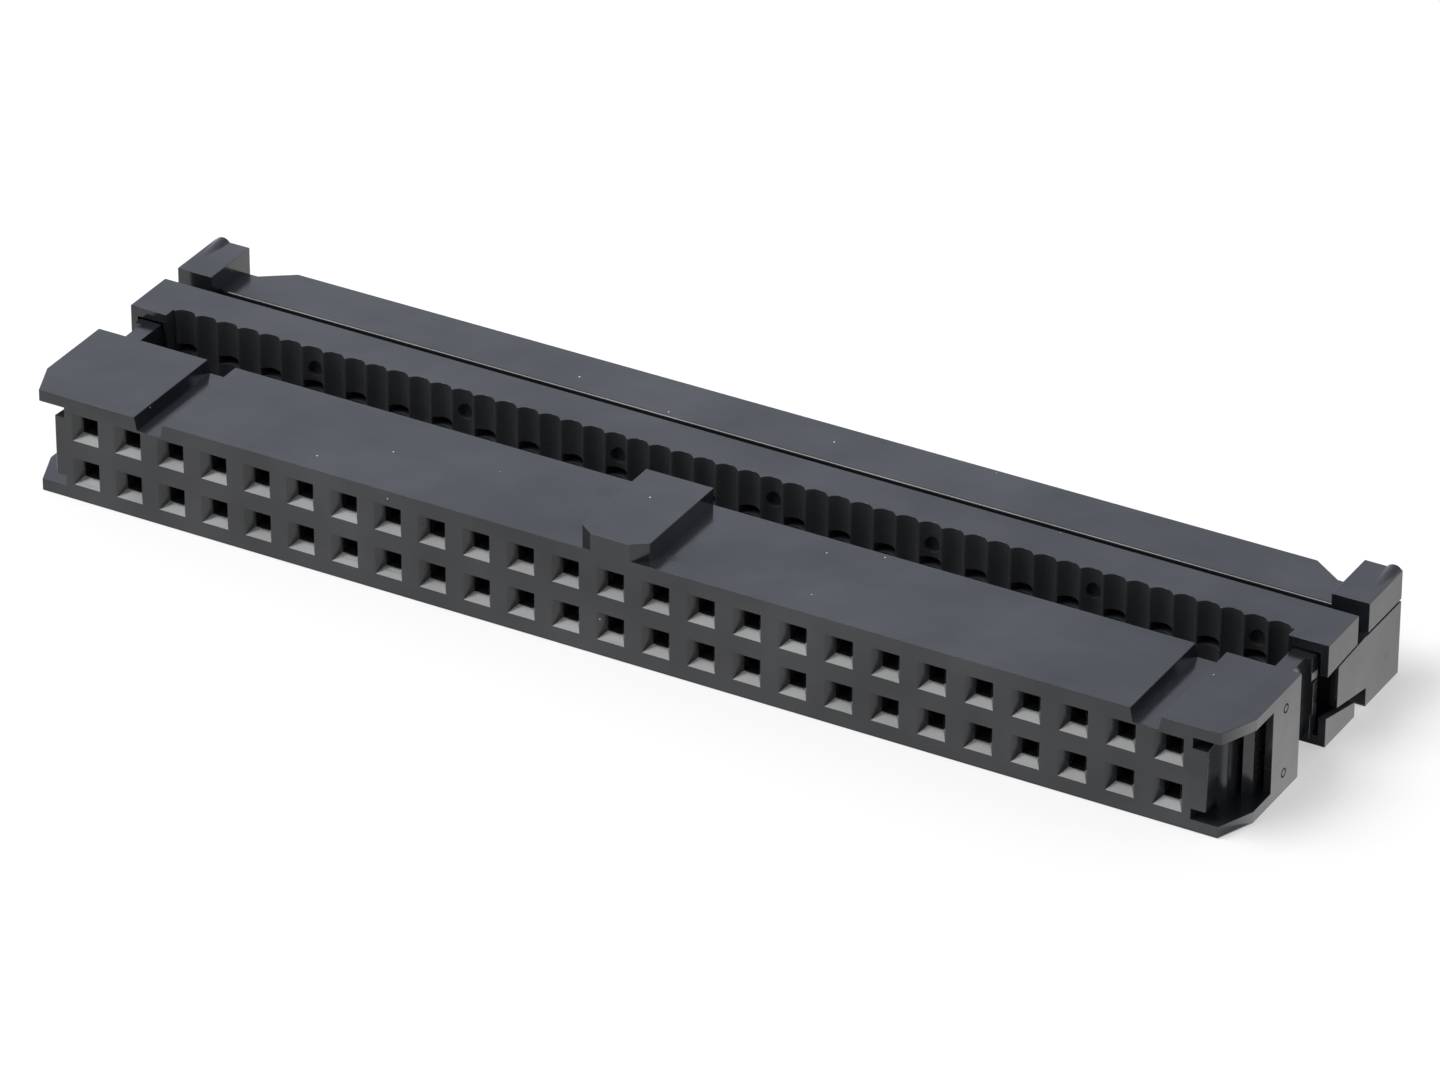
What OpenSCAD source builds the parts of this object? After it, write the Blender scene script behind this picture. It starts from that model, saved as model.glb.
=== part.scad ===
// Ribbon cable socket, two rows, insulation displacement, cover raised and strain relief fitted.
// The mating face is the plane Y = 0 and the cable side is +Y.
// X runs along the rows, Z across them, and the origin is the middle of the pin grid.

/* [Pin grid] */
// Distance between neighbouring pins along a row
pitch = 2.54; // [2.5:0.01:2.8]
// Distance between the two rows
row_pitch = 2.54; // [2.4:0.01:2.7]
// Number of pins in each row
columns = 25; // [5:1:28]
// Side of the square pin entry at the mating face
entry_w = 1.56; // [1.3:0.01:1.7]
// Side of the square hole behind the entry's slopes
hole_w = 0.8; // [0.7:0.01:1.1]
// Depth of the entry's slopes
lead_depth = 0.5; // [0.3:0.05:0.9]

/* [Socket body] */
// Height of the body across the rows
body_h = 5.8; // [5.6:0.05:6.6]
// Depth of the body from the mating face to its back
body_d = 6.85; // [6.4:0.05:8]
// Reach of the body past the outer pins
end_reach = 3.56; // [3.5:0.02:4.2]
// Reach of the pin block past the first pins
block_left_reach = 1.82; // [1.6:0.02:2]
// Reach of the pin block past the last pins
block_right_reach = 2.04; // [1.9:0.02:2.3]
// Corner cut at the pin block's ends
block_cut = 0.05; // [0.03:0.01:0.2]
// How far the pin block's ends draw in behind the mating face
block_taper = 0.16; // [0.1:0.02:0.4]
// Thickness of the plates over and under the end recess
plate_t = 0.64; // [0.4:0.02:0.7]
// Length of the plates' corner cut along X
corner_x = 0.85; // [0.3:0.05:1.2]
// Length of the plates' corner cut along Y
corner_y = 2.05; // [1:0.05:2.6]
// Depth of the end recess in front of the end wall
recess_d = 3.9; // [3.7:0.05:4.5]
// Depth of the end recess between its ribs
slot_d = 4.9; // [4.6:0.05:5.4]
// Thickness of the end wall
end_wall_t = 0.4; // [0.3:0.02:0.5]
// Gap between the end wall and the outer rib
outer_gap = 0.34; // [0.2:0.02:0.4]
// Width of the outer rib in the end recess
outer_rib_w = 0.48; // [0.3:0.02:0.5]
// Front of the outer rib in the end recess
outer_rib_y = 3.2; // [2.6:0.05:3.5]
// Slope of the outer rib's front along Y
outer_rib_slope = 0.3; // [0.1:0.02:0.4]
// Front of the inner rib in the end recess
inner_rib_y = 2.05; // [1.6:0.05:2.6]
// Width of the inner rib's sloped front
inner_rib_w = 0.18; // [0.1:0.02:0.2]
// Distance from the outer pins to the slots at the pin block's corners
corner_slot_x = 1.24; // [1.1:0.02:1.4]
// Height of the slots at the pin block's corners
corner_slot_h = 0.58; // [0.4:0.02:0.7]
// Depth of the slots at the pin block's corners
corner_slot_d = 1.6; // [0.8:0.1:1.8]
// Radius of the round witness lines on the end faces
witness_r = 0.25; // [0.15:0.01:0.35]
// Width and depth of the round witness lines
witness_w = 0.07; // [0.04:0.01:0.1]
// Distance of the round witness lines from the body's back
witness_y = 1.6; // [1:0.05:2]
// Distance of the round witness lines from the middle
witness_z = 1.8; // [1:0.05:2.2]

/* [Polarising] */
// Width of the key on the top
key_w = 3.8; // [2.5:0.1:5]
// Height of the key above the top
key_h = 0.95; // [0.4:0.05:1.2]
// Length of the key's corner cut along X
key_cut_x = 0.8; // [0.3:0.05:1.1]
// Length of the key's corner cut along Y
key_cut_y = 0.58; // [0.3:0.02:1.1]
// Width of the two grooves at their floor
groove_w = 1.36; // [1.2:0.02:1.6]
// Depth of the two grooves in the top
groove_d = 0.74; // [0.3:0.02:0.76]
// Slope of the groove walls, as extra width at the top
groove_flare = 0.32; // [0:0.02:0.4]
// Number of columns outside the left groove
groove_left_columns = 2; // [1:1:4]
// Number of columns outside the right groove
groove_right_columns = 1; // [1:1:4]

/* [Latch posts] */
// Distance from the outer pin to the post
post_offset = 1.68; // [1.6:0.02:1.8]
// Thickness of a post along X
post_t = 1.28; // [1.1:0.02:1.3]
// Width of a post along Z
post_h = 4.5; // [3.8:0.05:4.6]
// Reach of a post behind the body
post_reach = 3.1; // [2.8:0.05:3.3]
// Length of the slopes at a post's tip
post_slope = 0.2; // [0.1:0.05:0.5]
// How far a post's sides draw in at its tip
post_cut = 0.15; // [0.05:0.05:0.4]
// Distance from the body's back to the waist in a post's outer face
waist_y = 0.6; // [0.3:0.05:0.8]
// Depth of the waist in a post's outer face
waist_d = 0.35; // [0.2:0.05:0.4]
// Height of the latch tooth on a post
tooth_h = 0.12; // [0.08:0.01:0.13]
// Width of the latch tooth along Z
tooth_w = 1.8; // [1:0.1:2]
// Length of the latch tooth along Y
tooth_d = 0.7; // [0.4:0.05:0.8]

/* [Contacts] */
// Thickness of the contact strip
strip_t = 0.25; // [0.2:0.01:0.3]
// Width of the contact's pin fork
fork_w = 1.48; // [1.3:0.02:1.6]
// Gap between the pin fork's tips where they grip
grip_gap = 0.5; // [0.4:0.01:0.6]
// Gap between the pin fork's tips at its mouth
mouth_gap = 0.9; // [0.8:0.02:1]
// Width of the pin fork's slot at its root
root_gap = 0.66; // [0.6:0.02:0.75]
// Distance of the grip behind the fork's front
grip_d = 0.8; // [0.6:0.05:1]
// Width of the insulation displacing blade
blade_w = 1.0; // [0.8:0.02:1.1]
// Distance of the blades from the middle between the rows
blade_z = 0.65; // [0.55:0.05:0.8]
// Width of the blade's mouth that leads the wire in
blade_mouth = 0.6; // [0.5:0.02:0.7]
// Length of the blade's points
point_d = 0.5; // [0.4:0.02:0.6]
// Reach of the blade into the body's back wall
blade_root = 0.63; // [0.5:0.01:0.8]
// Width of the blade's slot that cuts to the wire
wire_slot = 0.27; // [0.2:0.01:0.35]
// Reach of the blade behind the body
blade_reach = 1.9; // [1.5:0.05:2]
// Thickness of the body's wall in front of the contacts
front_wall = 1.1; // [0.9:0.05:1.4]
// Depth of the body's back wall that holds the contacts
back_wall = 1.9; // [1.6:0.05:2.2]

/* [Cover] */
// Height of the cover across the rows
cover_h = 5.7; // [5.6:0.05:6.4]
// Depth of the cover along Y
cover_d = 3.27; // [3:0.05:4]
// Reach of the cover past the outer pins
cover_reach = 3.56; // [3.5:0.02:4]
// Gap between the body and the raised cover
cover_gap = 2.96; // [2.8:0.02:3.1]
// Travel of the cover when it is pressed home
cover_travel = 2.6; // [2.2:0.05:2.7]
// How far the wire grooves' field stands back from the cover's ends
field_d = 0.65; // [0.4:0.05:0.8]
// Width of the field past the outer wire grooves
field_margin = 0.12; // [0.05:0.01:0.15]
// Radius of the wire grooves
wire_r = 0.72; // [0.64:0.02:0.8]
// Depth of the wire grooves behind their field
wire_depth = 0.3; // [0.2:0.02:0.32]
// Number of wire grooves from one dimple to the next
dimple_wires = 7; // [4:1:10]
// Radius of the dimples in the wire grooves
dimple_r = 0.42; // [0.3:0.02:0.5]
// Depth of the dimples behind the wire grooves
dimple_d = 0.25; // [0.1:0.05:0.4]
// Distance of the dimples from the middle
dimple_z = 1.6; // [1.4:0.05:2.2]

/* [Strain relief] */
// Height of the end blocks across the rows
block_h = 5.8; // [5.6:0.05:6.4]
// Depth of the end blocks along Y
block_d = 3.69; // [3.2:0.01:4]
// Width of the end blocks along X
block_w = 2.05; // [1.8:0.01:2.1]
// Gap between the cover's back and the end blocks
block_gap = 1.2; // [1.1:0.05:1.6]
// Thickness of the bar across the rows
bar_h = 3.77; // [3:0.05:4.4]
// Distance of the bar's front behind the blocks' front
bar_setback = 0.65; // [0.3:0.05:0.8]
// Rounding of the bar's front edges
bar_r = 0.13; // [0.1:0.01:0.6]
// Reach of the bar's back behind the blocks
bar_bulge = 0.37; // [0.1:0.05:1]
// Distance from the blocks' inner faces to the bar's slope
slope_start = 1; // [0.3:0.05:1.2]
// Length of the bar's end slopes along X
slope_x = 1.7; // [1:0.1:3]
// Length of the bar's end slopes along Y
slope_y = 1.2; // [0.6:0.05:1.8]
// Reach of the legs in front of the blocks
leg_reach = 3.26; // [3:0.02:3.4]
// Rise of a leg above the middle at its tip
leg_tip_top = 1.05; // [0.8:0.01:1.1]
// Drop of a leg below the middle at its tip
leg_tip_low = 1.25; // [1:0.05:1.4]
// Drop of a leg below the middle at its root
leg_root_low = 1.85; // [1.6:0.05:2]
// Height of the finger ribs at the blocks' backs
rib_h = 0.2; // [0.1:0.01:0.4]
// Drop of the finger ribs from the blocks' backs to their fronts
rib_fall = 0.32; // [0.1:0.02:0.5]
// Radius of the finger ribs on the blocks
rib_r = 0.5; // [0.4:0.05:0.6]
// Distance of the finger ribs from the blocks' outer faces
rib_x = 0.45; // [0.4:0.05:0.7]
// Distance of the parting groove on the end faces from the middle
parting_z = 1.22; // [1.1:0.02:1.3]
// Width and depth of the parting groove
parting_w = 0.12; // [0.05:0.01:0.15]

/* [Fits] */
// Clearance round the posts and teeth in the cover
post_fit = 0.06; // [0.03:0.01:0.08]
// Clearance above the legs in the cover's slots
leg_fit = 0.1; // [0.05:0.01:0.12]
// Clearance below the legs in front of the cover's slots
leg_gap = 0.2; // [0.19:0.01:0.25]
// Clearance below the legs at the back of the cover's slots
leg_gap_back = 0.4; // [0.2:0.01:0.45]
// Clearance round the contacts in the body
contact_fit = 0.04; // [0.02:0.01:0.06]
// Clearance round the blades in the cover
blade_fit = 0.1; // [0.08:0.01:0.15]

/* [Hidden] */
plastic = "#3c3f45";
phosphor_bronze = "#b9a36a";
over = 0.2;
rows = 2;
wires = columns * rows;
wire_pitch = pitch / rows;

outer_pin_x = (columns - 1) * pitch / 2;
body_x = outer_pin_x + end_reach;
cover_x = outer_pin_x + cover_reach;
post_x = outer_pin_x + post_offset;
tooth_x = post_x + post_t + tooth_h;

cover_y = body_d + cover_gap;
cover_back_y = cover_y + cover_d;
field_x = wires * wire_pitch / 2 + field_margin;
field_y = cover_y + field_d;
block_y = cover_back_y + block_gap;
block_back_y = block_y + block_d;
bar_y = block_y + bar_setback;
bar_back_y = block_back_y + bar_bulge;
inner_block_x = cover_x - block_w;

leg_tip_y = block_y - leg_reach;
post_room = post_reach - cover_gap + cover_travel + post_fit;
fork_front_y = front_wall + contact_fit;
hold_y = body_d - back_wall;
web_y = hold_y + contact_fit;
blade_y = body_d - blade_root;
blade_tip_y = body_d + blade_reach;
cavity_w = fork_w + 2 * contact_fit;
hold_t = strip_t + 2 * contact_fit;
socket_end_x = tooth_x + post_fit;

function two_digits(n) = n < 10 ? str("0", n) : str(n);
function contact_name(row, column) = str("contact_", ["a", "b"][row], two_digits(column + 1));
function column_x(column) = column * pitch - outer_pin_x;
function wire_x(wire) = (wire - (wires - 1) / 2) * wire_pitch;
function blade_x(row) = (row - 0.5) * wire_pitch;
function leg_top(y) = leg_tip_top + (parting_z - leg_tip_top) * (y - leg_tip_y) / leg_reach;
function leg_low(y) = leg_tip_low + (leg_root_low - leg_tip_low) * (y - leg_tip_y) / leg_reach;

CONTACTS = [for (row = [0 : rows - 1]) for (column = [0 : columns - 1]) contact_name(row, column)];

// A box given by its lowest and highest corners
module span(low, high) {
  translate(low) cube(high - low);
}

// An outline drawn in X and Y, given a thickness along Z about a middle height
module plate_xy(thickness, middle = 0) {
  translate([0, 0, middle - thickness / 2]) linear_extrude(thickness) children();
}

// An outline drawn in Z and Y, run along X about the middle
module run_x(length) {
  rotate([0, -90, 0]) translate([0, 0, -length / 2]) linear_extrude(length) children();
}

module both_ends() {
  children();
  mirror([1, 0, 0]) children();
}

// Outline in X and Y of the pin passages down one column, from the mating face to the back
module column_outline() {
  polygon([
    [-entry_w / 2, 0],
    [-hole_w / 2, lead_depth],
    [-hole_w / 2, front_wall],
    [-cavity_w / 2, front_wall],
    [-cavity_w / 2, body_d + over],
    [cavity_w / 2, body_d + over],
    [cavity_w / 2, front_wall],
    [hole_w / 2, front_wall],
    [hole_w / 2, lead_depth],
    [entry_w / 2, 0],
  ]);
}

// Outline in Z and Y of the upper row's passages, which step in towards the blades at the back
module row_outline() {
  middle = row_pitch / 2;
  polygon([
    [middle - entry_w / 2, 0],
    [middle - hole_w / 2, lead_depth],
    [middle - hole_w / 2, hold_y],
    [blade_z - hold_t / 2, hold_y],
    [blade_z - hold_t / 2, body_d + over],
    [middle + hold_t / 2, body_d + over],
    [middle + hold_t / 2, hold_y],
    [middle + hole_w / 2, hold_y],
    [middle + hole_w / 2, lead_depth],
    [middle + entry_w / 2, 0],
  ]);
}

// All pin passages: slots down each column, met by slots along each row
module pin_passages() {
  intersection() {
    for (column = [0 : columns - 1])
      translate([column_x(column), 0, 0]) plate_xy(body_h) column_outline();
    for (row = [0 : rows - 1])
      mirror([0, 0, row]) run_x(2 * body_x) row_outline();
  }
}

// Room in the body's back wall for the blades, which stand beside their pins
module blade_slots() {
  slot_w = blade_w + 2 * contact_fit;
  for (row = [0 : rows - 1])
    mirror([0, 0, row])
      for (column = [0 : columns - 1])
        translate([column_x(column) + blade_x(row), 0, blade_z])
          span(
            [-slot_w / 2, blade_y - contact_fit, -hold_t / 2],
            [slot_w / 2, body_d + over, hold_t / 2]
          );
}

// Outline of the top and bottom plates, with the front corners cut
module plate_outline() {
  polygon([
    [-body_x + corner_x, 0],
    [body_x - corner_x, 0],
    [body_x, corner_y],
    [body_x, body_d],
    [-body_x, body_d],
    [-body_x, corner_y],
  ]);
}

// Outline of half the body between its plates: the pin block, then two ribs and the end wall
module core_half(block_reach) {
  block_x = outer_pin_x + block_reach;
  inner_x = block_x - block_taper;
  outer_x = body_x - end_wall_t - outer_gap;
  polygon([
    [-over, 0],
    [block_x - block_cut, 0],
    [block_x, block_cut],
    [inner_x, inner_rib_y],
    [inner_x + inner_rib_w, inner_rib_y + inner_rib_w],
    [inner_x + inner_rib_w, body_d],
    [-over, body_d],
  ]);
  polygon([
    [outer_x - outer_rib_w, outer_rib_y],
    [outer_x, outer_rib_y + outer_rib_slope],
    [outer_x, body_d],
    [outer_x - outer_rib_w, body_d],
  ]);
  translate([body_x - end_wall_t, recess_d]) square([end_wall_t, body_d - recess_d]);
  translate([0, slot_d]) square([body_x, body_d - slot_d]);
}

module core_outline() {
  core_half(block_right_reach);
  mirror([1, 0]) core_half(block_left_reach);
}

// Slots that part the corners of the pin block from the plates
module corner_slots() {
  slot_z = body_h / 2 - plate_t - corner_slot_h;
  for (side = [0, 1])
    mirror([0, 0, side])
      both_ends()
        span(
          [outer_pin_x + corner_slot_x, -over, slot_z],
          [outer_pin_x + block_right_reach + over, corner_slot_d, slot_z + corner_slot_h]
        );
}

// Round lines that the mould leaves on the end faces
module witness_lines() {
  for (side = [-1, 1])
    both_ends()
      translate([body_x - witness_w, body_d - witness_y, side * witness_z])
        rotate([0, 90, 0])
          difference() {
            cylinder(r = witness_r, h = witness_w + over, $fn = 32);
            translate([0, 0, -over]) cylinder(r = witness_r - witness_w, h = 3 * over, $fn = 32);
          }
}

module key() {
  plate_xy(key_h + body_h / 2, (key_h + body_h / 2) / 2)
    polygon([
      [-key_w / 2 + key_cut_x, 0],
      [key_w / 2 - key_cut_x, 0],
      [key_w / 2, key_cut_y],
      [key_w / 2, body_d],
      [-key_w / 2, body_d],
      [-key_w / 2, key_cut_y],
    ]);
}

// A groove along Y in the top, with sloped walls
module groove() {
  top_w = groove_w + groove_flare;
  translate([0, -over, body_h / 2])
    rotate([-90, 0, 0])
      linear_extrude(body_d + 2 * over)
        polygon([
          [-top_w / 2, -over],
          [top_w / 2, -over],
          [top_w / 2, 0],
          [groove_w / 2, groove_d],
          [-groove_w / 2, groove_d],
          [-top_w / 2, 0],
        ]);
}

// A latch post behind the body, with sloped sides at its tip
module post_blank() {
  root_y = body_d - over;
  tip_y = body_d + post_reach;
  translate([post_x + post_t / 2, 0, 0])
    run_x(post_t)
      polygon([
        [-post_h / 2, root_y],
        [post_h / 2, root_y],
        [post_h / 2, tip_y - post_slope],
        [post_h / 2 - post_cut, tip_y],
        [-post_h / 2 + post_cut, tip_y],
        [-post_h / 2, tip_y - post_slope],
      ]);
}

// The post with a waist in its outer face, which the latch tooth overhangs
module post() {
  outer_x = post_x + post_t;
  tip_y = body_d + post_reach;
  waist_x = outer_x - waist_d;
  waist_front_y = body_d + waist_y;
  difference() {
    post_blank();
    plate_xy(2 * post_h)
      polygon([
        [outer_x + over, waist_front_y - over],
        [waist_x, waist_front_y + waist_d],
        [waist_x, tip_y - tooth_d],
        [outer_x + over, tip_y - tooth_d],
      ]);
  }
  plate_xy(tooth_w)
    polygon([
      [waist_x, tip_y - tooth_d],
      [tooth_x, tip_y - tooth_d],
      [outer_x, tip_y],
      [waist_x, tip_y],
    ]);
}

module socket_body() {
  color(plastic)
    difference() {
      union() {
        plate_xy(body_h - plate_t) core_outline();
        for (side = [-1, 1])
          plate_xy(plate_t, side * (body_h - plate_t) / 2) plate_outline();
        key();
        both_ends() post();
      }
      pin_passages();
      blade_slots();
      corner_slots();
      witness_lines();
      translate([column_x(groove_left_columns) - pitch / 2, 0, 0]) groove();
      translate([column_x(columns - groove_right_columns) - pitch / 2, 0, 0]) groove();
    }
}

// The open slot of the pin fork: flared at its mouth, closest at the grip, round at its end
module pin_slot() {
  grip_y = fork_front_y + grip_d;
  root_y = hold_y - root_gap;
  polygon([
    [-mouth_gap / 2, fork_front_y - over],
    [mouth_gap / 2, fork_front_y - over],
    [mouth_gap / 2, fork_front_y],
    [grip_gap / 2, grip_y],
    [root_gap / 2, root_y],
    [-root_gap / 2, root_y],
    [-grip_gap / 2, grip_y],
    [-mouth_gap / 2, fork_front_y],
  ]);
  translate([0, root_y]) circle(d = root_gap, $fn = 24);
}

// The blade that cuts to the wire: two pointed tines with a slot between them
module blade_outline() {
  slot_y = body_d + contact_fit;
  difference() {
    polygon([
      [-blade_w / 2, blade_y],
      [blade_w / 2, blade_y],
      [blade_w / 2, blade_tip_y - point_d],
      [blade_mouth / 2, blade_tip_y],
      [-blade_mouth / 2, blade_tip_y],
      [-blade_w / 2, blade_tip_y - point_d],
    ]);
    polygon([
      [-wire_slot / 2, slot_y],
      [wire_slot / 2, slot_y],
      [wire_slot / 2, blade_tip_y - point_d],
      [blade_mouth / 2, blade_tip_y],
      [blade_mouth / 2, blade_tip_y + over],
      [-blade_mouth / 2, blade_tip_y + over],
      [-blade_mouth / 2, blade_tip_y],
      [-wire_slot / 2, blade_tip_y - point_d],
    ]);
  }
}

// A stamped and bent contact: pin fork in front, a web in the back wall, blade behind
module contact(row, column) {
  color(phosphor_bronze)
    translate([column_x(column), 0, 0])
      mirror([0, 0, row]) {
        plate_xy(strip_t, row_pitch / 2)
          difference() {
            translate([-fork_w / 2, fork_front_y]) square([fork_w, web_y + strip_t - fork_front_y]);
            pin_slot();
          }
        span(
          [-fork_w / 2, web_y, blade_z - strip_t / 2],
          [fork_w / 2, web_y + strip_t, (row_pitch + strip_t) / 2]
        );
        plate_xy(strip_t, blade_z) {
          translate([-fork_w / 2, web_y]) square([fork_w, body_d - web_y]);
          translate([blade_x(row), 0]) blade_outline();
        }
      }
}

// Grooves for the wires across the cover's front, in a field that stands back from its ends
module wire_grooves() {
  run_z = cover_h / 2 + over;
  span([-field_x, cover_y - over, -run_z], [field_x, field_y, run_z]);
  for (wire = [0 : wires - 1])
    translate([wire_x(wire), field_y - wire_r + wire_depth, -run_z])
      cylinder(r = wire_r, h = 2 * run_z, $fn = 32);
}

// Round dimples in some of the wire grooves
module dimples() {
  for (wire = [wires - 2 : -dimple_wires : 0])
    for (side = [-1, 1])
      translate([wire_x(wire), field_y, side * dimple_z])
        rotate([-90, 0, 0]) cylinder(r = dimple_r, h = wire_depth + dimple_d, $fn = 32);
}

// Pockets that take the blades when the cover is pressed home
module blade_pockets() {
  depth = blade_reach - (cover_gap - cover_travel) + 2 * blade_fit;
  w = blade_w + 2 * blade_fit;
  t = strip_t + 2 * blade_fit;
  for (row = [0 : rows - 1])
    mirror([0, 0, row])
      for (column = [0 : columns - 1])
        translate([column_x(column) + blade_x(row), cover_y, blade_z])
          span([-w / 2, -over, -t / 2], [w / 2, depth, t / 2]);
}

// Openings at a cover's end: a pocket for the latch post, a slot for the strain relief's leg
module cover_end() {
  post_w = post_h + 2 * post_fit;
  front_y = cover_y - over;
  back_y = cover_back_y + over;
  span(
    [post_x - post_fit, front_y, -post_w / 2],
    [socket_end_x, cover_y + post_room, post_w / 2]
  );
  translate([cover_x, 0, 0])
    run_x(2 * (cover_x - socket_end_x + over))
      polygon([
        [-leg_low(front_y) - leg_gap, front_y],
        [leg_top(front_y) + leg_fit, front_y],
        [leg_top(back_y) + leg_fit, back_y],
        [-leg_low(back_y) - leg_gap_back, back_y],
      ]);
}

module cover() {
  color(plastic)
    difference() {
      span([-cover_x, cover_y, -cover_h / 2], [cover_x, cover_back_y, cover_h / 2]);
      wire_grooves();
      dimples();
      blade_pockets();
      both_ends() cover_end();
    }
}

// Section of the bar across its length, with both front edges rounded
module bar_section() {
  depth = bar_back_y - bar_y;
  translate([-bar_h / 2, bar_y + bar_r]) square([bar_h, depth - bar_r]);
  translate([-bar_h / 2 + bar_r, bar_y]) square([bar_h - 2 * bar_r, bar_r]);
  for (side = [-1, 1])
    translate([side * (bar_h / 2 - bar_r), bar_y + bar_r]) circle(r = bar_r, $fn = 32);
}

// The bar over the cable, whose back slopes in before the end blocks
module bar() {
  slope_end_x = inner_block_x - slope_start;
  end_y = bar_back_y - slope_y;
  intersection() {
    run_x(2 * inner_block_x + 2 * over) bar_section();
    plate_xy(bar_h)
      polygon([
        [-inner_block_x - over, bar_y],
        [inner_block_x + over, bar_y],
        [inner_block_x + over, end_y],
        [slope_end_x, end_y],
        [slope_end_x - slope_x, bar_back_y],
        [-slope_end_x + slope_x, bar_back_y],
        [-slope_end_x, end_y],
        [-inner_block_x - over, end_y],
      ]);
  }
}

// A finger rib along Y, which rises out of the top towards the block's back
module finger_rib() {
  intersection() {
    span([inner_block_x, block_y, 0], [cover_x, block_back_y, block_h]);
    translate([cover_x - rib_x, block_back_y, block_h / 2 + rib_h - rib_r])
      rotate([90 + atan(rib_fall / block_d), 0, 0])
        translate([0, 0, -rib_r]) cylinder(r = rib_r, h = block_d + 2 * rib_r, $fn = 32);
  }
}

// One end block, with a finger rib on its top and a leg that reaches into the cover
module end_block() {
  span([inner_block_x, block_y, -block_h / 2], [cover_x, block_back_y, block_h / 2]);
  finger_rib();
  translate([(socket_end_x + cover_x) / 2, 0, 0])
    run_x(cover_x - socket_end_x)
      polygon([
        [-leg_tip_low, leg_tip_y],
        [leg_tip_top, leg_tip_y],
        [parting_z, block_y],
        [parting_z, block_y + over],
        [-leg_root_low, block_y + over],
        [-leg_root_low, block_y],
      ]);
}

// A thin groove along the end face, in line with the leg's upper edge
module parting_groove() {
  span(
    [cover_x - parting_w, block_y - over, parting_z - parting_w / 2],
    [cover_x + over, block_back_y + over, parting_z + parting_w / 2]
  );
}

module strain_relief() {
  color(plastic)
    difference() {
      union() {
        bar();
        both_ends() end_block();
      }
      both_ends() parting_groove();
    }
}

socket_body();
cover();
strain_relief();
for (row = [0 : rows - 1])
  for (column = [0 : columns - 1])
    contact(row, column);
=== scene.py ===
"""Ribbon cable socket with its cover raised and its strain relief fitted, dressed for a studio.

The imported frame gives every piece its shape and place. This add-on rounds the moulded edges,
gives plastic and contacts their finish, and sets up the floor, the lamp and the camera.
"""

import math

import bmesh
import bpy
from bpy.props import FloatProperty, FloatVectorProperty, PointerProperty
from mathutils import Euler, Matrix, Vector


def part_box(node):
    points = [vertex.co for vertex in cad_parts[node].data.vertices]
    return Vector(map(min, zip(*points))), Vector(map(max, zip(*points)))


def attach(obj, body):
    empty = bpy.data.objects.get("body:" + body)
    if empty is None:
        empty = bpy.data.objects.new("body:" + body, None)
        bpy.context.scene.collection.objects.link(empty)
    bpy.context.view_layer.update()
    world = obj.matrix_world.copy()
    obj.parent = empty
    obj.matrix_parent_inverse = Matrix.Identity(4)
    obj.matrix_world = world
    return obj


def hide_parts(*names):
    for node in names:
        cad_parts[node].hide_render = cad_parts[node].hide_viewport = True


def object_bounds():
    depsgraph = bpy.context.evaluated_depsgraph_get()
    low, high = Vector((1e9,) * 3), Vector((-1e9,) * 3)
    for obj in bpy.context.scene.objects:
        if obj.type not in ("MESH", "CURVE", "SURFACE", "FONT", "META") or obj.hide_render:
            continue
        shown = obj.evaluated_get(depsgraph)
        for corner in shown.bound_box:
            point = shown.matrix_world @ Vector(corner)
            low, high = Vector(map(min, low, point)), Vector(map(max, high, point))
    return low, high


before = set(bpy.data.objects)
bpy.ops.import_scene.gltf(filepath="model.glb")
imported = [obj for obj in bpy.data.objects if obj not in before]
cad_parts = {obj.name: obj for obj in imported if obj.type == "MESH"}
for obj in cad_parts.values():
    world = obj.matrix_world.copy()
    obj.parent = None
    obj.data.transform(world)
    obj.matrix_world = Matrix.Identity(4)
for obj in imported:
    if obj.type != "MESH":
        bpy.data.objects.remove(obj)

bl_info = {
    "name": "Ribbon cable socket",
    "version": (1, 0, 0),
    "blender": (4, 5, 0),
    "location": "View3D > Sidebar > Socket",
    "description": "Finishes the pieces of a ribbon cable socket and sets its studio",
    "category": "Object",
}

MM = 0.001
CAD_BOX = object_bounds()

# The moulded pieces with the bodies that they ride on, and the one of them with wire grooves
MOULDED = {"socket_body": "socket", "cover": "wire_cover", "strain_relief": "cable_clamp"}
GROOVED = "cover"

# The two rows of contacts, each in order along X
CONTACTS = {
    row: sorted(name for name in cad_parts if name.startswith("contact_" + row))
    for row in "ab"
}

# The face attribute that is one where the plastic is matt
MATT = "matt"

# How a solid's triangles are joined up and its edges rounded
MERGE_DISTANCE = 0.0005 * MM
FLAT_ANGLE = math.radians(0.5)
ROUNDING_STEPS = 2
ROUND_PROFILE = 0.5

# Power of its area in square millimetres by which a face counts in a shared normal, so that
# slivers hardly do
AREA_POWER = 2

# Edge radii from the cover's top and underside to where its matt faces begin
MATT_BELOW_EDGES = 2

# Features to the metre of the patterns in the materials
CLOUDS_PER_METRE = 160
SINKS_PER_METRE = 220
STREAKS_PER_METRE = 700
ROLLING_MARKS_PER_METRE = 2500
GRAINS_PER_METRE = 6000

# The span that most of a noise texture's values lie in, and the one that they are spread to
NOISE_SPAN = (0.3, 0.7)
UNIT_SPAN = (0, 1)

# The clouds in the plastic: shares of its colour, and the sheen halfway between them
DARK_TINT = 0.9
PALE_TINT = 1.15
PLAIN_SHEEN = 0.5

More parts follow.
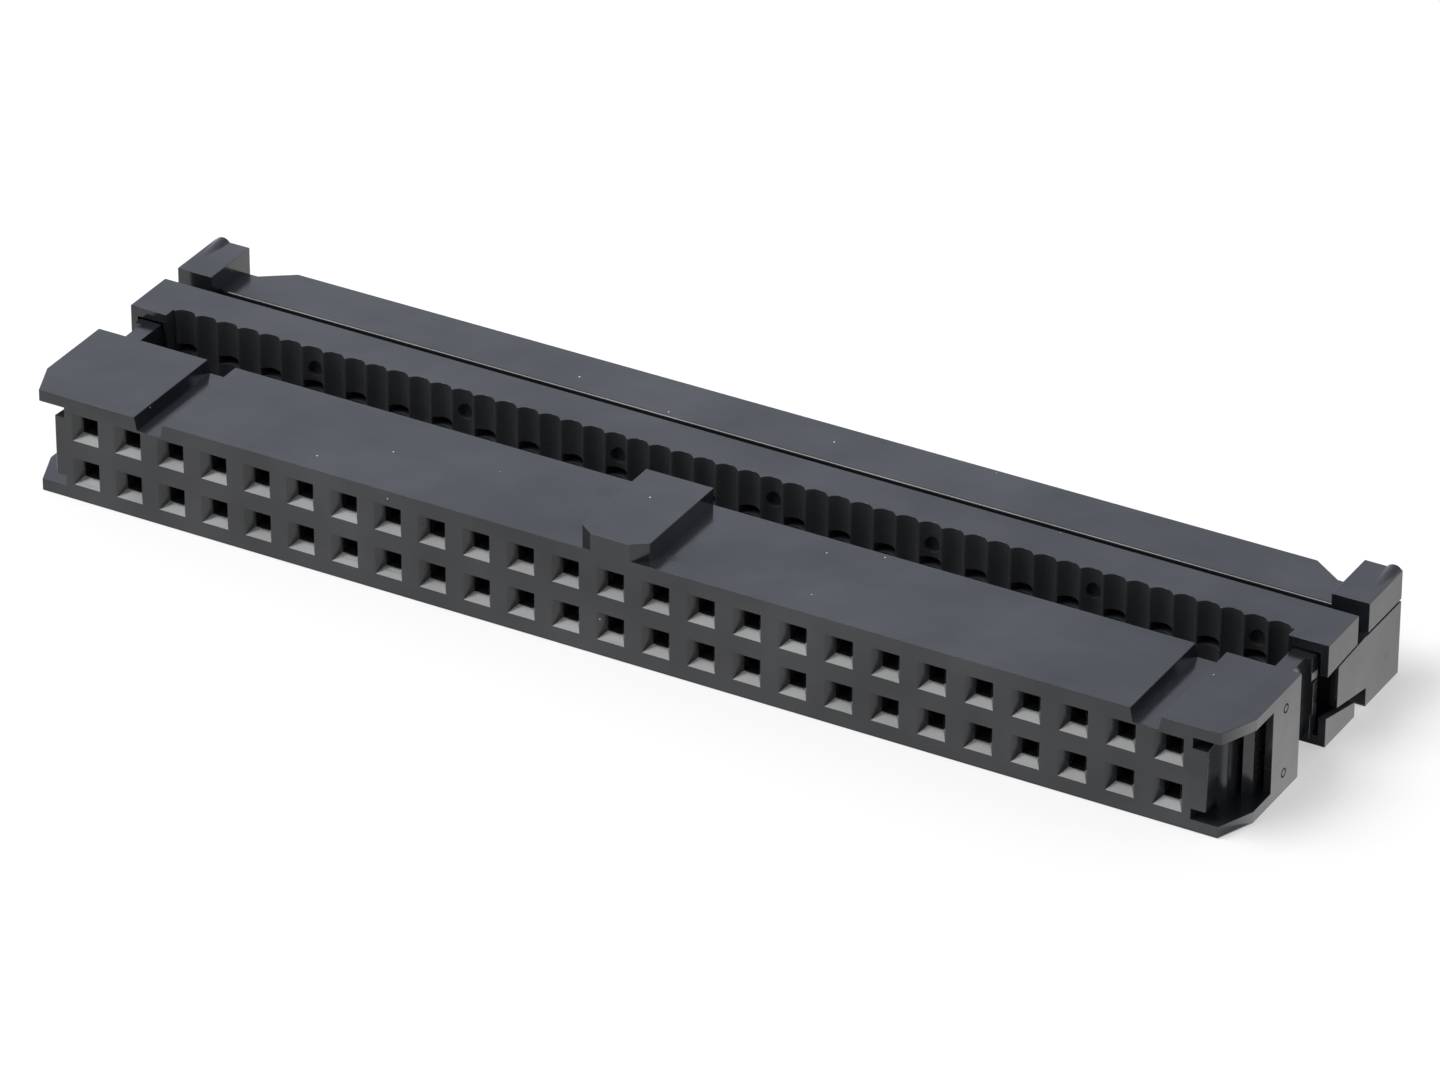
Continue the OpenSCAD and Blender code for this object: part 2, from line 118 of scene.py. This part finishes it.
# What streaks and scuffs add to the plastic's roughness, and how the scuffs lie
STREAK_ROUGHNESS = (-0.03, 0.03)
SCUFF_ROUGHNESS = 0.1
SCUFF_ANGLE = math.radians(24)
SCUFF_STRETCH = (0.04, 1, 1)
SCUFF_SPAN = (0.66, 0.72)

# The contacts' plating: half the length over which gold fades into tin, and its roughness
PLATING_FADE = 0.15 * MM
PLATING_ROUGHNESS = (0.22, 0.36)

# The floor: half its side in metres, and the floor gaps within which it counts as touched
FLOOR_REACH = 3.0
FLOOR_ROUGHNESS = 0.9
TOUCH_GAPS = 10

# The softbox: its direction from the socket, and its distance in metres
SOFTBOX_WAY = (-0.42, -0.32, 0.85)
SOFTBOX_DISTANCE = 0.55

# The surround's strength by how high and how far back it lies, from minus one to one
SKY_HEIGHTS = (0.4, 0.9)
SKY_STRENGTHS = (1.12, 0.3)
FRONT_DEPTHS = (-0.6, 0.4)
FRONT_STRENGTHS = (0.6, 1.0)

# The camera: film width in millimetres, and the nearest distance that it sees in metres
FILM_WIDTH = 36
NEAREST = 0.01


class MouldedFinish(bpy.types.PropertyGroup):
    """Sizes and colours of the moulded plastic"""

    colour: FloatVectorProperty(
        name="Plastic colour",
        description="Colour of the filled polyester",
        subtype="COLOR",
        default=(0.012, 0.013, 0.015),
        min=0,
        max=1,
    )
    roughness: FloatProperty(
        name="Roughness",
        description="Roughness of the polished mould surface",
        default=0.17,
        min=0,
        max=1,
    )
    groove_roughness: FloatProperty(
        name="Groove roughness",
        description="Roughness of the sparked mould surface in the cover's wire grooves",
        default=0.6,
        min=0,
        max=1,
    )
    edge_radius: FloatProperty(
        name="Edge radius",
        description="Rounding of the moulded edges",
        subtype="DISTANCE",
        unit="LENGTH",
        default=0.025 * MM,
    )
    groove_depth: FloatProperty(
        name="Groove depth",
        description="Depth inside the cover's ends, front and back from which its faces are matt",
        subtype="DISTANCE",
        unit="LENGTH",
        default=0.3 * MM,
    )
    sheen_change: FloatProperty(
        name="Sheen change",
        description="How much the sheen varies across a face",
        default=0.09,
        min=0,
        max=0.5,
    )
    dust_colour: FloatVectorProperty(
        name="Dust colour",
        description="Colour of the specks of dust",
        subtype="COLOR",
        default=(0.5, 0.5, 0.5),
        min=0,
        max=1,
    )
    dust_spread: FloatProperty(
        name="Dust spread",
        description="Distance between specks of dust",
        subtype="DISTANCE",
        unit="LENGTH",
        default=2.6 * MM,
    )
    dust_radius: FloatProperty(
        name="Dust radius",
        description="Radius of a speck of dust",
        subtype="DISTANCE",
        unit="LENGTH",
        default=0.05 * MM,
    )
    scuff_spread: FloatProperty(
        name="Scuff spread",
        description="Width of the faint marks and of the bands between them",
        subtype="DISTANCE",
        unit="LENGTH",
        default=0.35 * MM,
    )
    unevenness: FloatProperty(
        name="Unevenness",
        description="Depth of the sinks that moulding leaves in flat faces",
        subtype="DISTANCE",
        unit="LENGTH",
        default=0.04 * MM,
    )
    grain: FloatProperty(
        name="Grain",
        description="Depth of the fine mould grain",
        subtype="DISTANCE",
        unit="LENGTH",
        default=0.0004 * MM,
    )
    sharp_angle: FloatProperty(
        name="Sharp angle",
        description="Edges that turn more than this are rounded",
        subtype="ANGLE",
        default=math.radians(35),
    )


class ContactFinish(bpy.types.PropertyGroup):
    """Colours and edges of the plated contacts"""

    fork_colour: FloatVectorProperty(
        name="Fork colour",
        description="Colour of the gold on the pin forks",
        subtype="COLOR",
        default=(0.83, 0.62, 0.28),
        min=0,
        max=1,
    )
    blade_colour: FloatVectorProperty(
        name="Blade colour",
        description="Colour of the tin on the blades",
        subtype="COLOR",
        default=(0.62, 0.61, 0.58),
        min=0,
        max=1,
    )
    edge_radius: FloatProperty(
        name="Edge radius",
        description="Rounding of the stamped edges",
        subtype="DISTANCE",
        unit="LENGTH",
        default=0.02 * MM,
    )
    plating_line: FloatProperty(
        name="Plating line",
        description="Distance behind the mating face where gold gives way to tin",
        subtype="DISTANCE",
        unit="LENGTH",
        default=5.6 * MM,
    )


class StudioSettings(bpy.types.PropertyGroup):
    """Camera, lamp, surround and floor"""

    azimuth: FloatProperty(
        name="Azimuth",
        description="Turn of the camera round the socket, from its mating face",
        subtype="ANGLE",
        default=math.radians(29.349),
    )
    elevation: FloatProperty(
        name="Elevation",
        description="Height of the camera above the horizon",
        subtype="ANGLE",
        default=math.radians(30.342),
    )
    roll: FloatProperty(
        name="Roll",
        description="Turn of the camera about its own axis",
        subtype="ANGLE",
        default=math.radians(0.244),
    )
    distance: FloatProperty(
        name="Distance",
        description="Distance from the camera to its target",
        subtype="DISTANCE",
        unit="LENGTH",
        default=423.31 * MM,
    )
    target: FloatVectorProperty(
        name="Target",
        description="Point in the middle of the picture",
        subtype="TRANSLATION",
        unit="LENGTH",
        default=(1.44 * MM, 8.33 * MM, 0),
    )
    lens: FloatProperty(
        name="Lens",
        description="Focal length in millimetres, on the film's width",
        default=214.05,
    )
    softbox_size: FloatProperty(
        name="Softbox size",
        description="Side of the overhead softbox",
        subtype="DISTANCE",
        unit="LENGTH",
        default=360 * MM,
    )
    softbox_power: FloatProperty(
        name="Softbox power",
        description="Power of the overhead softbox",
        subtype="POWER",
        default=3.0,
    )
    surround: FloatVectorProperty(
        name="Surround",
        description="Colour of the backdrop as the plastic mirrors it",
        subtype="COLOR",
        default=(1.0, 1.06, 1.22),
    )
    ambient: FloatProperty(
        name="Ambient",
        description="Brightness of the neutral light from all round",
        default=0.87,
    )
    floor_colour: FloatVectorProperty(
        name="Floor colour",
        description="Colour of the pale floor",
        subtype="COLOR",
        default=(0.92, 0.92, 0.92),
    )
    # Painted light: a white glow that the camera sees on the floor lightens the shadow
    shadow_lift: FloatProperty(
        name="Shadow lift",
        description="How far the shadow on the floor is lightened towards white",
        default=0.45,
        min=0,
        max=1,
    )
    floor_gap: FloatProperty(
        name="Floor gap",
        description="Distance that keeps the floor clear of the socket's lowest faces",
        subtype="DISTANCE",
        unit="LENGTH",
        default=0.02 * MM,
    )
    # Painted reflection: the floor's glow as the pieces mirror it, which no lamp gives
    near_glow: FloatProperty(
        name="Near glow",
        description="Brightness of the floor's mirror image in front of the socket and behind it",
        default=1.1,
    )
    far_glow: FloatProperty(
        name="Far glow",
        description="Brightness of the floor's mirror image where it is brightest",
        default=1.38,
    )
    sweep_rise: FloatProperty(
        name="Sweep rise",
        description="Distance behind the mating face where the floor's mirror image is brightest",
        subtype="DISTANCE",
        unit="LENGTH",
        default=6 * MM,
    )
    sweep_fall: FloatProperty(
        name="Sweep fall",
        description="Distance behind the mating face where that brightness has faded again",
        subtype="DISTANCE",
        unit="LENGTH",
        default=18 * MM,
    )


def linked(tree, source, target):
    """Joins two sockets of a node tree."""
    tree.links.new(source, target)


def new_material(name):
    """A node material with a principled shader, its tree and that shader."""
    material = bpy.data.materials.new(name)
    material.use_nodes = True
    tree = material.node_tree
    tree.nodes.clear()
    shader = tree.nodes.new("ShaderNodeBsdfPrincipled")
    output = tree.nodes.new("ShaderNodeOutputMaterial")
    linked(tree, shader.outputs["BSDF"], output.inputs["Surface"])
    return material, tree, shader


def own_coordinates(tree):
    """The coordinates of the piece itself."""
    return tree.nodes.new("ShaderNodeTexCoord").outputs["Object"]


def parted(tree, coordinates):
    """The X, Y and Z of coordinates, by name."""
    node = tree.nodes.new("ShaderNodeSeparateXYZ")
    linked(tree, coordinates, node.inputs["Vector"])
    return node.outputs


def noise(tree, coordinates, per_metre, detail):
    """A noise texture on the given coordinates."""
    node = tree.nodes.new("ShaderNodeTexNoise")
    node.inputs["Scale"].default_value = per_metre
    node.inputs["Detail"].default_value = detail
    linked(tree, coordinates, node.inputs["Vector"])
    return node.outputs["Fac"]


def remap(tree, value, span, new_span):
    """A value moved from one span to another."""
    node = tree.nodes.new("ShaderNodeMapRange")
    node.inputs["From Min"].default_value, node.inputs["From Max"].default_value = span
    node.inputs["To Min"].default_value, node.inputs["To Max"].default_value = new_span
    linked(tree, value, node.inputs["Value"])
    return node.outputs["Result"]


def calculated(tree, operation, first, second):
    """A math node's result from two values, each a socket or a number."""
    node = tree.nodes.new("ShaderNodeMath")
    node.operation = operation
    for given, socket in zip((first, second), node.inputs):
        if isinstance(given, bpy.types.NodeSocket):
            linked(tree, given, socket)
        else:
            socket.default_value = given
    return node.outputs["Value"]


def beyond(tree, value, low, high):
    """One where a value lies outside a range, zero within it."""
    offset = calculated(tree, "SUBTRACT", value, (low + high) / 2)
    size = calculated(tree, "ABSOLUTE", offset, 0)
    return calculated(tree, "GREATER_THAN", size, (high - low) / 2)


def mixed_colour(tree, factor, first, second):
    """A blend of two colours, each a socket or three numbers."""
    node = tree.nodes.new("ShaderNodeMix")
    node.data_type = "RGBA"
    linked(tree, factor, node.inputs["Factor"])
    for given, label in ((first, "A"), (second, "B")):
        socket = next(end for end in node.inputs if end.name == label and end.type == "RGBA")
        if isinstance(given, bpy.types.NodeSocket):
            linked(tree, given, socket)
        else:
            socket.default_value = (*given, 1.0)
    return next(end for end in node.outputs if end.type == "RGBA")


def mixed_shader(tree, factor, first, second):
    """A blend of two shaders."""
    node = tree.nodes.new("ShaderNodeMixShader")
    for source, socket in zip((factor, first, second), node.inputs):
        linked(tree, source, socket)
    return node.outputs["Shader"]


def raised(tree, height, depth, below=None):
    """A bump node's normal for heights of up to the given depth, on top of another bump."""
    bump = tree.nodes.new("ShaderNodeBump")
    bump.inputs["Distance"].default_value = depth
    linked(tree, height, bump.inputs["Height"])
    if below:
        linked(tree, below, bump.inputs["Normal"])
    return bump.outputs["Normal"]


def dust(tree, coordinates, spread, radius):
    """One at sparse specks of a radius, about a spread apart, and zero between them."""
    cells = tree.nodes.new("ShaderNodeTexVoronoi")
    cells.inputs["Scale"].default_value = 1 / spread
    linked(tree, coordinates, cells.inputs["Vector"])
    return calculated(tree, "LESS_THAN", cells.outputs["Distance"], radius / spread)


def scuffs(tree, coordinates, spread):
    """Faint long marks that lie askew across the pieces, from zero to one."""
    askew = tree.nodes.new("ShaderNodeMapping")
    askew.inputs["Rotation"].default_value = (0, 0, SCUFF_ANGLE)
    askew.inputs["Scale"].default_value = SCUFF_STRETCH
    linked(tree, coordinates, askew.inputs["Vector"])
    marks = noise(tree, askew.outputs["Vector"], 1 / spread, detail=1)
    return remap(tree, marks, SCUFF_SPAN, UNIT_SPAN)


def moulded_plastic(finish):
    """Black filled polyester: glossy, clouded and uneven, with dust and scuffs; matt if marked."""
    material, tree, shader = new_material("moulded_plastic")
    coordinates = own_coordinates(tree)

    clouds = noise(tree, coordinates, CLOUDS_PER_METRE, detail=3)
    cloud = remap(tree, clouds, NOISE_SPAN, UNIT_SPAN)
    tint = mixed_colour(tree, cloud, finish.colour * DARK_TINT, finish.colour * PALE_TINT)
    specks = dust(tree, coordinates, finish.dust_spread, finish.dust_radius)
    dusty = mixed_colour(tree, specks, tint, finish.dust_colour)
    linked(tree, dusty, shader.inputs["Base Color"])

    sheens = (PLAIN_SHEEN - finish.sheen_change, PLAIN_SHEEN + finish.sheen_change)
    sheen = remap(tree, cloud, UNIT_SPAN, sheens)
    linked(tree, sheen, shader.inputs["Specular IOR Level"])

    streaks = noise(tree, coordinates, STREAKS_PER_METRE, detail=4)
    streaked = remap(tree, streaks, NOISE_SPAN, STREAK_ROUGHNESS)
    wear = scuffs(tree, coordinates, finish.scuff_spread)
    scuffed = calculated(tree, "MULTIPLY", wear, SCUFF_ROUGHNESS)
    worn = calculated(tree, "ADD", streaked, scuffed)
    rough = calculated(tree, "ADD", worn, finish.roughness)
    marked = tree.nodes.new("ShaderNodeAttribute")
    marked.attribute_name = MATT
    rougher = finish.groove_roughness - finish.roughness
    matt = calculated(tree, "MULTIPLY", marked.outputs["Fac"], rougher)
    linked(tree, calculated(tree, "ADD", rough, matt), shader.inputs["Roughness"])

    sinks = noise(tree, coordinates, SINKS_PER_METRE, detail=2)
    uneven = raised(tree, sinks, finish.unevenness)
    grains = noise(tree, coordinates, GRAINS_PER_METRE, detail=2)
    linked(tree, raised(tree, grains, finish.grain, uneven), shader.inputs["Normal"])
    return material


def plated_strip(finish):
    """Phosphor bronze, gold on the forks and tin on the blades, with faint rolling marks."""
    material, tree, shader = new_material("plated_strip")
    shader.inputs["Metallic"].default_value = 1.0
    coordinates = own_coordinates(tree)
    line = finish.plating_line
    fade = (line - PLATING_FADE, line + PLATING_FADE)
    tinned = remap(tree, parted(tree, coordinates)["Y"], fade, UNIT_SPAN)
    plating = mixed_colour(tree, tinned, finish.fork_colour, finish.blade_colour)
    linked(tree, plating, shader.inputs["Base Color"])
    marks = noise(tree, coordinates, ROLLING_MARKS_PER_METRE, detail=3)
    rough = remap(tree, marks, NOISE_SPAN, PLATING_ROUGHNESS)
    linked(tree, rough, shader.inputs["Roughness"])
    return material


def set_material(piece, material):
    """Gives a piece one material all over."""
    piece.data.materials.clear()
    piece.data.materials.append(material)


def plain_mesh(piece):
    """Turns a piece with modifiers into a plain mesh."""
    graph = bpy.context.evaluated_depsgraph_get()
    mesh = bpy.data.meshes.new_from_object(piece.evaluated_get(graph))
    mesh.name = piece.name
    piece.modifiers.clear()
    piece.data = mesh


def smooth_normal(face, vertex, strips, limit):
    """The normal of a face at a vertex, shared with faces there that turn less than a limit."""
    total = Vector()
    for other in vertex.link_faces:
        if other not in strips and other.normal.angle(face.normal, 0) < limit:
            total += other.normal * (other.calc_area() / MM**2) ** AREA_POWER
    return total.normalized() if total.length else face.normal


def corner_normal(corner, strips, limit):
    """The normal of a face corner; a rounded edge's strips take theirs from faces beside them."""
    if corner.face not in strips:
        return smooth_normal(corner.face, corner.vert, strips, limit)
    for edge in (corner.edge, corner.link_loop_prev.edge):
        for beside in edge.link_faces:
            if beside not in strips:
                return smooth_normal(beside, corner.vert, strips, limit)
    return corner.vert.normal


def rounded_copy(name, node_name, radius, sharp_angle):
    """A copy of a solid whose faces are joined up and whose sharp outer edges are rounded."""
    form = bmesh.new()
    form.from_mesh(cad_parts[node_name].data)
    bmesh.ops.remove_doubles(form, verts=form.verts, dist=MERGE_DISTANCE)
    bmesh.ops.dissolve_limit(form, angle_limit=FLAT_ANGLE, verts=form.verts, edges=form.edges)
    form.normal_update()
    sharp = [
        edge for edge in form.edges if edge.is_convex and edge.calc_face_angle(0) > sharp_angle
    ]
    rounded = bmesh.ops.bevel(
        form,
        geom=sharp,
        offset=radius,
        offset_type="OFFSET",
        segments=ROUNDING_STEPS,
        profile=ROUND_PROFILE,
        affect="EDGES",
        clamp_overlap=False,
    )
    form.normal_update()
    strips = set(rounded["faces"])
    # As tuples, because the form's own vectors end with the form
    normals = [
        tuple(corner_normal(corner, strips, sharp_angle))
        for face in form.faces
        for corner in face.loops
    ]
    for face in form.faces:
        face.smooth = True
    mesh = bpy.data.meshes.new(name)
    form.to_mesh(mesh)
    form.free()
    mesh.normals_split_custom_set(normals)
    piece = bpy.data.objects.new(name, mesh)
    bpy.context.scene.collection.objects.link(piece)
    return piece


def mark_matt(piece, finish):
    """Marks the faces of the grooved piece that lie inside its outer skin as matt.

    The grooves run out at top and bottom, so there the skin is only as deep as the rounding.
    """
    rounding = MATT_BELOW_EDGES * finish.edge_radius
    skin = Vector((finish.groove_depth, finish.groove_depth, rounding))
    low, high = (Vector(corner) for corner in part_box(GROOVED))
    marks = piece.data.attributes.new(MATT, "FLOAT", "FACE")
    for face in piece.data.polygons:
        inside = all(
            low[axis] + skin[axis] < face.center[axis] < high[axis] - skin[axis]
            for axis in range(3)
        )
        marks.data[face.index].value = float(inside)


class SOCKET_OT_mould_pieces(bpy.types.Operator):
    """Rounds the edges of the moulded pieces and gives them their plastic, matt in the grooves"""

    bl_idname = "socket.mould_pieces"
    bl_label = "Mould the plastic pieces"

    def execute(self, context):
        finish = context.scene.socket_moulded
        plastic = moulded_plastic(finish)
        for node_name, body in MOULDED.items():
            piece = rounded_copy(
                "moulded_" + node_name, node_name, finish.edge_radius, finish.sharp_angle
            )
            set_material(piece, plastic)
            if node_name == GROOVED:
                mark_matt(piece, finish)
            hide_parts(node_name)
            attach(piece, body)
        return {"FINISHED"}


def row_tree():
    """Geometry nodes that set out copies of a contact in a row, and its inputs' identifiers."""
    tree = bpy.data.node_groups.new("contact_row", "GeometryNodeTree")
    inputs = {}
    for label, kind in (
        ("Contact", "NodeSocketObject"),
        ("Count", "NodeSocketInt"),
        ("Step", "NodeSocketVector"),
        ("Material", "NodeSocketMaterial"),
    ):
        socket = tree.interface.new_socket(label, in_out="INPUT", socket_type=kind)
        inputs[label] = socket.identifier
    tree.interface.new_socket("Row", in_out="OUTPUT", socket_type="NodeSocketGeometry")
    given = tree.nodes.new("NodeGroupInput").outputs
    contact = tree.nodes.new("GeometryNodeObjectInfo")
    linked(tree, given["Contact"], contact.inputs["Object"])
    places = tree.nodes.new("GeometryNodeMeshLine")
    linked(tree, given["Count"], places.inputs["Count"])
    linked(tree, given["Step"], places.inputs["Offset"])
    copies = tree.nodes.new("GeometryNodeInstanceOnPoints")
    linked(tree, places.outputs["Mesh"], copies.inputs["Points"])
    linked(tree, contact.outputs["Geometry"], copies.inputs["Instance"])
    real = tree.nodes.new("GeometryNodeRealizeInstances")
    linked(tree, copies.outputs["Instances"], real.inputs["Geometry"])
    painted = tree.nodes.new("GeometryNodeSetMaterial")
    linked(tree, real.outputs["Geometry"], painted.inputs["Geometry"])
    linked(tree, given["Material"], painted.inputs["Material"])
    result = tree.nodes.new("NodeGroupOutput")
    linked(tree, painted.outputs["Geometry"], result.inputs["Row"])
    return tree, inputs


class SOCKET_OT_plate_contacts(bpy.types.Operator):
    """Sets out both rows of contacts with rounded edges and gives them their plating"""

    bl_idname = "socket.plate_contacts"
    bl_label = "Plate the contacts"

    def execute(self, context):
        finish = context.scene.socket_contact
        sharp_angle = context.scene.socket_moulded.sharp_angle
        plating = plated_strip(finish)
        tree, inputs = row_tree()
        for row, nodes in CONTACTS.items():
            name = "contacts_" + row
            first = rounded_copy("first_contact", nodes[0], finish.edge_radius, sharp_angle)
            piece = bpy.data.objects.new(name, bpy.data.meshes.new(name))
            context.scene.collection.objects.link(piece)
            copies = piece.modifiers.new("copies", "NODES")
            copies.node_group = tree
            copies[inputs["Contact"]] = first
            copies[inputs["Count"]] = len(nodes)
            copies[inputs["Step"]] = Vector(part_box(nodes[1])[0]) - Vector(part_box(nodes[0])[0])
            copies[inputs["Material"]] = plating
            plain_mesh(piece)
            bpy.data.objects.remove(first)
            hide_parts(*nodes)
            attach(piece, "socket")
        return {"FINISHED"}


def pale_floor(studio):
    """Floor paint whose shadow a painted white glow lightens, and whose mirror images show a
    painted glowing sweep.

    The painted glow of the sweep is brightest behind the mating face, and only mirror images
    outside the socket's outline show it. The floor is clear from below and where the socket
    touches it, so the underside can be looked at.
    """
    material, tree, shader = new_material("pale_floor")
    shader.inputs["Base Color"].default_value = (*studio.floor_colour, 1.0)
    shader.inputs["Roughness"].default_value = FLOOR_ROUGHNESS
    place = parted(tree, own_coordinates(tree))
    rays = tree.nodes.new("ShaderNodeLightPath").outputs

    # Painted light: the camera sees the floor partly as a white glow, which lightens the socket's
    # shadow on it
    white = tree.nodes.new("ShaderNodeEmission")
    lift = calculated(tree, "MULTIPLY", rays["Is Camera Ray"], studio.shadow_lift)
    glow_lifted_floor = mixed_shader(tree, lift, shader.outputs["BSDF"], white.outputs["Emission"])

    # Painted reflection: the floor glows for mirror rays, brightest behind the mating face,
    # instead of being lit there by a lamp
    sweep_glow = tree.nodes.new("ShaderNodeEmission")
    rise_span, fall_span = (0, studio.sweep_rise), (studio.sweep_rise, studio.sweep_fall)
    rise = remap(tree, place["Y"], rise_span, (studio.near_glow, studio.far_glow))
    fall = remap(tree, place["Y"], fall_span, (studio.far_glow, studio.near_glow))
    linked(tree, calculated(tree, "MINIMUM", rise, fall), sweep_glow.inputs["Strength"])
    low, high = CAD_BOX
    beside = beyond(tree, place["X"], low[0], high[0])
    before_or_behind = beyond(tree, place["Y"], low[1], high[1])
    outside = calculated(tree, "MAXIMUM", beside, before_or_behind)
    mirrored = calculated(tree, "MULTIPLY", rays["Is Glossy Ray"], outside)
    seen = mixed_shader(tree, mirrored, glow_lifted_floor, sweep_glow.outputs["Emission"])

    below = tree.nodes.new("ShaderNodeNewGeometry").outputs["Backfacing"]
    touch_length = TOUCH_GAPS * studio.floor_gap
    touching = calculated(tree, "LESS_THAN", rays["Ray Length"], touch_length)
    open_floor = calculated(tree, "MAXIMUM", below, touching)
    clear = tree.nodes.new("ShaderNodeBsdfTransparent")
    shown = mixed_shader(tree, open_floor, seen, clear.outputs["BSDF"])
    linked(tree, shown, tree.nodes["Material Output"].inputs["Surface"])
    return material


def add_floor(studio):
    """A wide plane at the level that the socket lies on."""
    level = CAD_BOX[0][2] - studio.floor_gap
    mesh = bpy.data.meshes.new("floor")
    corners = [(-1, -1), (1, -1), (1, 1), (-1, 1)]
    mesh.from_pydata(
        [(x * FLOOR_REACH, y * FLOOR_REACH, level) for x, y in corners], [], [(0, 1, 2, 3)]
    )
    floor = bpy.data.objects.new("floor", mesh)
    bpy.context.scene.collection.objects.link(floor)
    set_material(floor, pale_floor(studio))


def add_softbox(studio):
    """A square lamp above the socket's left front, turned towards its origin."""
    name = "overhead_softbox"
    lamp = bpy.data.lights.new(name, "AREA")
    lamp.shape = "SQUARE"
    lamp.size = studio.softbox_size
    lamp.energy = studio.softbox_power
    place = Vector(SOFTBOX_WAY) * SOFTBOX_DISTANCE
    holder = bpy.data.objects.new(name, lamp)
    holder.location = place
    holder.rotation_euler = (-place).to_track_quat("-Z", "Y").to_euler()
    bpy.context.scene.collection.objects.link(holder)


def set_surround(studio):
    """Soft light from all round, less from overhead and from the front; white to the camera."""
    world = bpy.data.worlds.new("surround")
    world.use_nodes = True
    tree = world.node_tree
    background = tree.nodes["Background"]
    rays = tree.nodes.new("ShaderNodeLightPath").outputs
    neutral = (studio.ambient,) * 3
    colour = mixed_colour(tree, rays["Is Diffuse Ray"], studio.surround, neutral)
    linked(tree, colour, background.inputs["Color"])
    way = parted(tree, tree.nodes.new("ShaderNodeTexCoord").outputs["Generated"])
    above = remap(tree, way["Z"], SKY_HEIGHTS, SKY_STRENGTHS)
    ahead = remap(tree, way["Y"], FRONT_DEPTHS, FRONT_STRENGTHS)
    linked(tree, calculated(tree, "MULTIPLY", above, ahead), background.inputs["Strength"])
    white = tree.nodes.new("ShaderNodeBackground")
    white.inputs["Color"].default_value = (1, 1, 1, 1)
    backdrop, blank = background.outputs["Background"], white.outputs["Background"]
    seen = mixed_shader(tree, rays["Is Camera Ray"], backdrop, blank)
    linked(tree, seen, tree.nodes["World Output"].inputs["Surface"])
    bpy.context.scene.world = world


def add_camera(studio):
    """The camera at the picture's view, with its lens taken on the film's width."""
    data = bpy.data.cameras.new("camera")
    data.sensor_fit = "HORIZONTAL"
    data.sensor_width = FILM_WIDTH
    data.lens = studio.lens
    data.clip_start = NEAREST
    camera = bpy.data.objects.new("camera", data)
    flat = math.cos(studio.elevation)
    away = Vector(
        (
            math.sin(studio.azimuth) * flat,
            -math.cos(studio.azimuth) * flat,
            math.sin(studio.elevation),
        )
    )
    camera.location = Vector(studio.target) + away * studio.distance
    look = (-away).to_track_quat("-Z", "Y")
    turn = Euler((0, 0, studio.roll)).to_quaternion()
    camera.rotation_euler = (look @ turn).to_euler()
    bpy.context.scene.collection.objects.link(camera)
    bpy.context.scene.camera = camera


class SOCKET_OT_build_studio(bpy.types.Operator):
    """Sets the floor, the lamp, the surround and the camera"""

    bl_idname = "socket.build_studio"
    bl_label = "Build the studio"

    def execute(self, context):
        studio = context.scene.socket_studio
        context.scene.view_settings.view_transform = "Standard"
        add_floor(studio)
        add_softbox(studio)
        set_surround(studio)
        add_camera(studio)
        return {"FINISHED"}


class SOCKET_PT_panel(bpy.types.Panel):
    """Lists the steps that make the socket, and their settings"""

    bl_label = "Ribbon cable socket"
    bl_idname = "SOCKET_PT_panel"
    bl_space_type = "VIEW_3D"
    bl_region_type = "UI"
    bl_category = "Socket"

    def draw(self, context):
        for operator in OPERATORS:
            self.layout.operator(operator.bl_idname)
        for settings in SETTINGS:
            group = getattr(context.scene, settings)
            box = self.layout.box()
            for name in group.bl_rna.properties.keys():
                if name not in ("rna_type", "name"):
                    box.prop(group, name)


OPERATORS = (SOCKET_OT_mould_pieces, SOCKET_OT_plate_contacts, SOCKET_OT_build_studio)
SETTINGS = {
    "socket_moulded": MouldedFinish,
    "socket_contact": ContactFinish,
    "socket_studio": StudioSettings,
}


def register():
    for group in SETTINGS.values():
        bpy.utils.register_class(group)
    for name, group in SETTINGS.items():
        setattr(bpy.types.Scene, name, PointerProperty(type=group))
    for operator in OPERATORS:
        bpy.utils.register_class(operator)
    bpy.utils.register_class(SOCKET_PT_panel)


def unregister():
    bpy.utils.unregister_class(SOCKET_PT_panel)
    for operator in reversed(OPERATORS):
        bpy.utils.unregister_class(operator)
    for name, group in SETTINGS.items():
        delattr(bpy.types.Scene, name)
        bpy.utils.unregister_class(group)


def main():
    register()
    bpy.ops.socket.mould_pieces()
    bpy.ops.socket.plate_contacts()
    bpy.ops.socket.build_studio()


if __name__ == "__main__":
    main()
